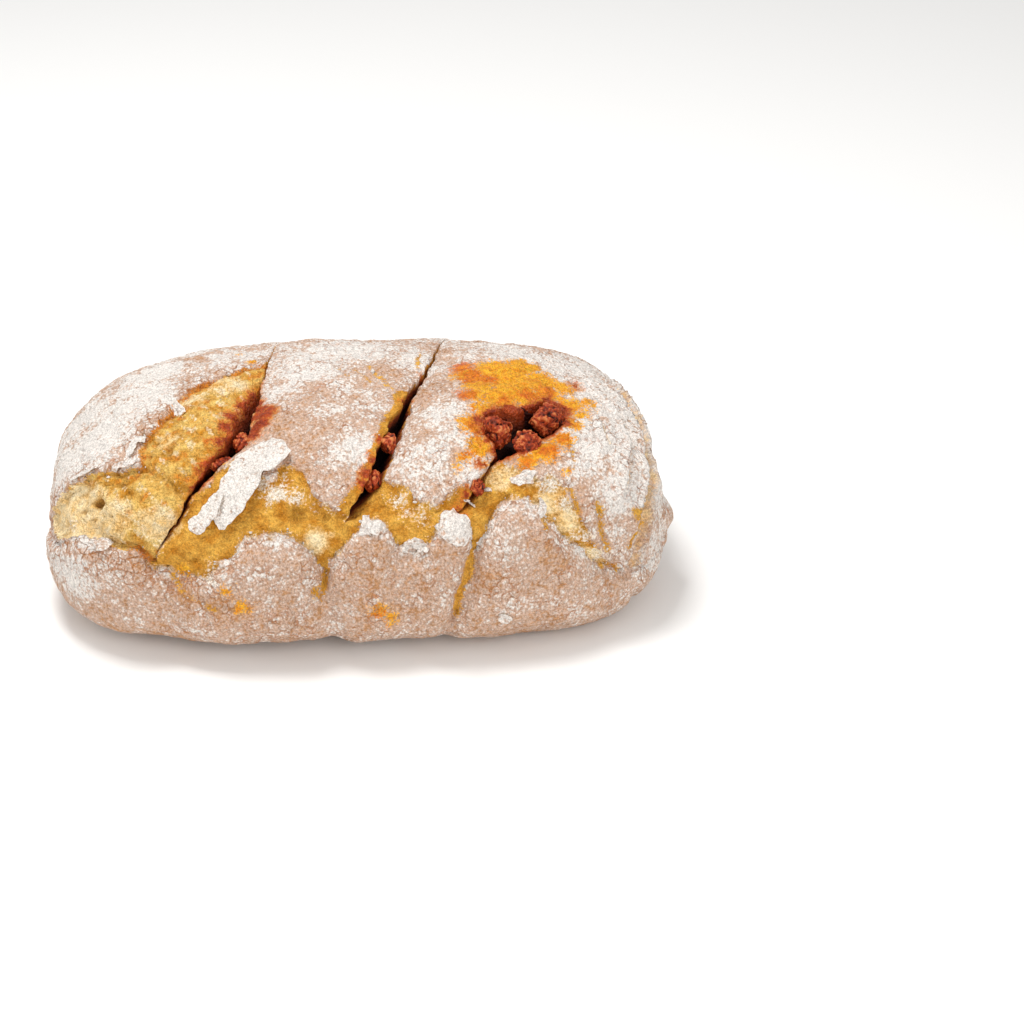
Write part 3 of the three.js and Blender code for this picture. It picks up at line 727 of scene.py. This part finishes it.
# Slivers of crust that lifted, four along the torn face and two by the right slash: two ends, width,
# thickness and lift.
CURLS = [
    ((-61, 77), (-68, 88), 3.6, 0.6, 0.7), ((-80, 56), (-74, 66), 3.6, 0.6, 1.0),
    ((-101, 53), (-91, 54), 3.2, 0.5, 0.9), ((-86, 52), (-77, 53), 3.4, 0.6, 1.0),
    ((39, 34), (43.5, 31.5), 1.0, 0.4, 0.8), ((44, 37), (47, 38), 1.0, 0.4, 0.5),
]
for number, (start, end, width, thick, lift) in enumerate(CURLS):
    start, end = np.array(start, float), np.array(end, float)
    cross = np.array([end[1] - start[1], start[0] - end[0]])
    cross *= width / 2 / np.linalg.norm(cross)
    edges = [[start + (end - start) * t + sign * cross for t in np.linspace(0, 1, 5)] for sign in (-1, 1)]
    scale_piece(f"crust_curl_{number + 1}", *edges, thick, lift, 1.0, 70 + 6 * number)

CLUMPS = [  # x, phi, half sizes across and up, thickness, lift
    (34.8, 26.0, 6.4, 5.0, 1.6, 1.0), (5, 27.0, 4.2, 2.6, 0.9, 0.5), (21.0, 19.6, 5.0, 2.0, 1.1, 0.7),
    (60, 40.5, 4.0, 2.2, 0.9, 0.4), (47.5, 37.5, 2.0, 0.9, 0.5, 0.2), (52, -6, 2.0, 1.6, 0.6, 0.2),
    (67, 30, 2.0, 3.0, 0.8, 0.5), (-92, 23, 5.0, 2.0, 0.9, 0.6),
]
for number, (cx, cphi, half_x, half_phi, thick, lift) in enumerate(CLUMPS):
    arc = np.radians(np.linspace(-90, 90, 9))
    edges = [[(cx + sign * half_x * np.cos(t), cphi + half_phi * np.sin(t)) for t in arc] for sign in (-1, 1)]
    scale_piece(f"flour_clump_{number + 1}", *edges, thick, lift, 0.2, 130 + 6 * number, 1.7)


# Loose clots of flour that crumbled off the torn edges and lie on the bare crumb.
CLOTS, TRIES, CLOT_ROWS, CLOT_COLUMNS = 130, 9000, 5, 8
CLEAR_OF_SLASH, SMALLEST_CLOT, LARGEST_CLOT = 4, 0.15, 0.6  # millimetres


def ball_grid(rows, columns, last):
    """A ball of radius 1 in rings across x, the first and last of them at that latitude in degrees."""
    latitude = np.radians(np.linspace(-last, last, rows))[:, None]
    longitude = np.radians(np.arange(columns) * 360 / columns)[None, :]
    ring_y, ring_z = -np.cos(latitude) * np.cos(longitude), np.cos(latitude) * np.sin(longitude)
    return np.stack([np.sin(latitude) + 0 * longitude, ring_y, ring_z], -1)


rng = np.random.default_rng(7)
row, column = rng.integers(20, ROWS - 20, TRIES), rng.integers(0, COLUMNS, TRIES)
off_slash = np.min([np.abs(gap[row, column]) for gap in slash_gap.values()], axis=0) > CLEAR_OF_SLASH
near_edge = (np.abs(bare[row, column] - 1.0) < 1.5) & (np.abs(phi[row, column] - 42) < 72)
near_edge = near_edge & off_slash & (x[row, column] > -92)
row, column = row[near_edge][:CLOTS], column[near_edge][:CLOTS]
ball = ball_grid(CLOT_ROWS, CLOT_COLUMNS, 80)
quads, caps = ring_faces(CLOT_ROWS, CLOT_COLUMNS)
ball = np.vstack([ball.reshape(-1, 3), ball[0].mean(axis=0), ball[-1].mean(axis=0)])
radii = np.clip(rng.lognormal(-1.25, 0.4, len(row)), SMALLEST_CLOT, LARGEST_CLOT)[:, None, None]
clots = place[row, column][:, None] + out[row, column][:, None] * 0.35 * radii
squash = rng.uniform(0.5, 1.6, (len(row), 1, 3))
clots = clots + ball * radii * squash * rng.uniform(0.7, 1.3, (len(row), len(ball), 1))
first = np.arange(len(row))[:, None, None] * len(ball)
caps = (np.array(caps) + first).reshape(-1, 3)
loose = make_piece("loose_flour", clots.reshape(-1, 3), (quads + first).reshape(-1, 4), caps.tolist())
loose.data.materials.append(crust)
paint(loose, {"thick": np.full(clots.size // 3, 2.0)}, clots.size // 3)
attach(loose, "root")


# The filling: crumbs of cooked, cured red sausage that show in the cuts. Each is a rough chunk of
# coarsely minced meat, glossy with its own oil. Painted shade darkens its crevices and the crumb at
# the back of the pit, and its ridges take the pale tone of browned fat, partly a painted highlight.
meat = bpy.data.materials.new("cooked cured sausage")
meat.use_nodes = True
tree = meat.node_tree
shader = tree.nodes["Principled BSDF"]
where = add(tree, "ShaderNodeTexCoord", {}).outputs["Object"]
painted_shade_level = add(tree, "ShaderNodeAttribute", {}, attribute_name="painted_shade_level").outputs["Fac"]
mince = {"Vector": where, "Scale": 1 / (1.6 * MM), "Detail": 3.0, "Roughness": 0.6}
mince = add(tree, "ShaderNodeTexNoise", mince).outputs["Fac"]
# The colour follows the mince noise and how far each point stands out: dark in the crevices and on the crumb
# at the back of the pit, which is painted shade, and the pale tone of browned fat on the ridges, which is
# partly a painted highlight.
level = add(tree, "ShaderNodeMath", {0: mince, 1: 1.6, 2: painted_shade_level}, operation="MULTIPLY_ADD").outputs[0]
raised = add(tree, "ShaderNodeMapRange", {"Value": level, "From Min": 0.75, "From Max": 1.35}).outputs[0]
fatty = {"Value": level, "From Min": 1.3, "From Max": 1.65, "To Max": 0.9}
fatty = add(tree, "ShaderNodeMapRange", fatty).outputs[0]
tone = add(tree, "ShaderNodeMix", {0: raised, 6: colour("#300903"), 7: colour("#A83A12")}, **mix).outputs[2]
tone = add(tree, "ShaderNodeMix", {0: fatty, 6: tone, 7: colour("#D4824A")}, **mix).outputs[2]
tree.links.new(tone, shader.inputs["Base Color"])
meat_bump = add(tree, "ShaderNodeBump", {"Height": mince, "Strength": 0.9, "Distance": 1.2 * MM})
tree.links.new(meat_bump.outputs["Normal"], shader.inputs["Normal"])
shader.inputs["Roughness"].default_value = 0.45
shader.inputs["Specular IOR Level"].default_value = 0.3
shader.inputs["IOR"].default_value = 1.45
MEAT_ROWS, MEAT_COLUMNS, CHOPS = 56, 72, 9
APART = 37  # millimetres from one crumb's noise to the next one's, so that no two are alike
ball = ball_grid(MEAT_ROWS, MEAT_COLUMNS, 88)
quads, caps = ring_faces(MEAT_ROWS, MEAT_COLUMNS)
for number, node in enumerate(sorted(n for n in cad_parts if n.startswith("filling_"))):
    low, high = (np.array(corner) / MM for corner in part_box(node))
    centre, half = (low + high) / 2 - SHIFT, (high - low) / 2 * (0.88 if "middle" in node else 1.0)
    rng = np.random.default_rng(number)
    faces = unit(rng.normal(size=(CHOPS, 3)))  # a ball chopped by this many planes,
    reach = rng.uniform(0.66, 1.0, CHOPS)  # each this far from its middle
    chopped = np.minimum((reach / np.maximum(ball @ faces.T, 0.02)).min(axis=-1), 1.12)
    spot = ball * half + APART * number  # millimetres, so that the mince is as coarse on every crumb
    crevice = bump(noise(spot, 4.4, 20), 0.10) + 0.5 * bump(noise(spot, 2.0, 21), 0.16)
    strands = 1 - 2 * np.abs(noise(spot * [1, 1, 2.2], 1.7, 24))
    rough_size = 0.12 * noise(spot, 4.0, 22) + 0.07 * noise(spot, 1.0, 23) + 0.06 * strands
    size = chopped * (0.98 - 0.16 * crevice + rough_size)
    shape = centre + ball * half * size[..., None]
    points = np.vstack([shape.reshape(-1, 3), [shape[0].mean(axis=0), shape[-1].mean(axis=0)]])
    crumb_piece = make_piece(node + "_meat", points, quads, caps)
    # How far each point stands out, lowered for the crumb at the back of the pit: painted shade there and in
    # the crevices, painted highlight on the ridges.
    painted_shade_values = (0.5 - 0.5 * crevice + 2.6 * rough_size - 1.3 * (node == "filling_pit_back")).ravel()
    painted_shade_values = np.r_[painted_shade_values, painted_shade_values[0], painted_shade_values[-1]]
    attribute = crumb_piece.data.attributes.new("painted_shade_level", "FLOAT", "POINT")
    attribute.data.foreach_set("value", painted_shade_values.astype(np.float32))
    crumb_piece.data.materials.append(meat)
    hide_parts(node)
    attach(crumb_piece, "root")


# The stage: a plain pale floor, a bright sky and three soft boxes: one over the loaf and one at each
# side in front of it.
floor_mesh = bpy.data.meshes.new("floor")
HALF_FLOOR, FLOOR_DROP = 3.0, 0.0002  # metres; the floor lies just under the loaf's sole
signs = ((-1, -1), (1, -1), (1, 1), (-1, 1))
corners = [(sx * HALF_FLOOR, sy * HALF_FLOOR, -FLOOR_DROP) for sx, sy in signs]
floor_mesh.from_pydata(corners, [], [(0, 1, 2, 3)])
floor = bpy.data.objects.new("floor", floor_mesh)
bpy.context.scene.collection.objects.link(floor)
paper = bpy.data.materials.new("white paper")
paper.use_nodes = True
paper.node_tree.nodes["Principled BSDF"].inputs["Base Color"].default_value = colour("#F4F3F1")
paper.node_tree.nodes["Principled BSDF"].inputs["Roughness"].default_value = 0.9
floor_mesh.materials.append(paper)

SKY_STRENGTH = 0.55
sky = bpy.data.worlds.new("sky")
bpy.context.scene.world = sky
sky.use_nodes = True
sky.node_tree.nodes["Background"].inputs["Color"].default_value = (1.0, 1.0, 1.0, 1.0)
sky.node_tree.nodes["Background"].inputs["Strength"].default_value = SKY_STRENGTH


def soft_box(name, place, aim, size, watts):
    """A square area lamp of that size in metres at place, turned to face aim."""
    lamp = bpy.data.lights.new(name, "AREA")
    lamp.size, lamp.energy = size, watts
    made = bpy.data.objects.new(name, lamp)
    made.location = place
    made.rotation_euler = (Vector(aim) - Vector(place)).to_track_quat("-Z", "Y").to_euler()
    bpy.context.scene.collection.objects.link(made)


LAMPS_AIM = (0, 0, 0.03)
soft_box("key", (-0.2, 0.12, 1.02), LAMPS_AIM, 0.32, 7.2)
soft_box("fill", (0.5, -1.0, 0.55), LAMPS_AIM, 0.8, 6.6)
soft_box("left fill", (-1.0, -0.5, 0.5), LAMPS_AIM, 0.7, 2.6)

# The camera looks down at 30 degrees, a little from the left, with a long lens.
AIM = (np.array([59.7, -5.0, 22.4]) + SHIFT) * MM
AZIMUTH, ELEVATION, DISTANCE = np.radians(-4.0), np.radians(30.0), 0.95
lens = bpy.data.cameras.new("camera")
lens.sensor_width, lens.lens = 36.0, 87.9
camera = bpy.data.objects.new("camera", lens)
back = Vector((np.sin(AZIMUTH) * np.cos(ELEVATION), -np.cos(AZIMUTH) * np.cos(ELEVATION), np.sin(ELEVATION)))
camera.location = Vector(AIM) + back * DISTANCE
camera.rotation_euler = back.to_track_quat("Z", "Y").to_euler()
bpy.context.scene.collection.objects.link(camera)
bpy.context.scene.camera = camera
bpy.context.scene.view_settings.view_transform = "Standard"
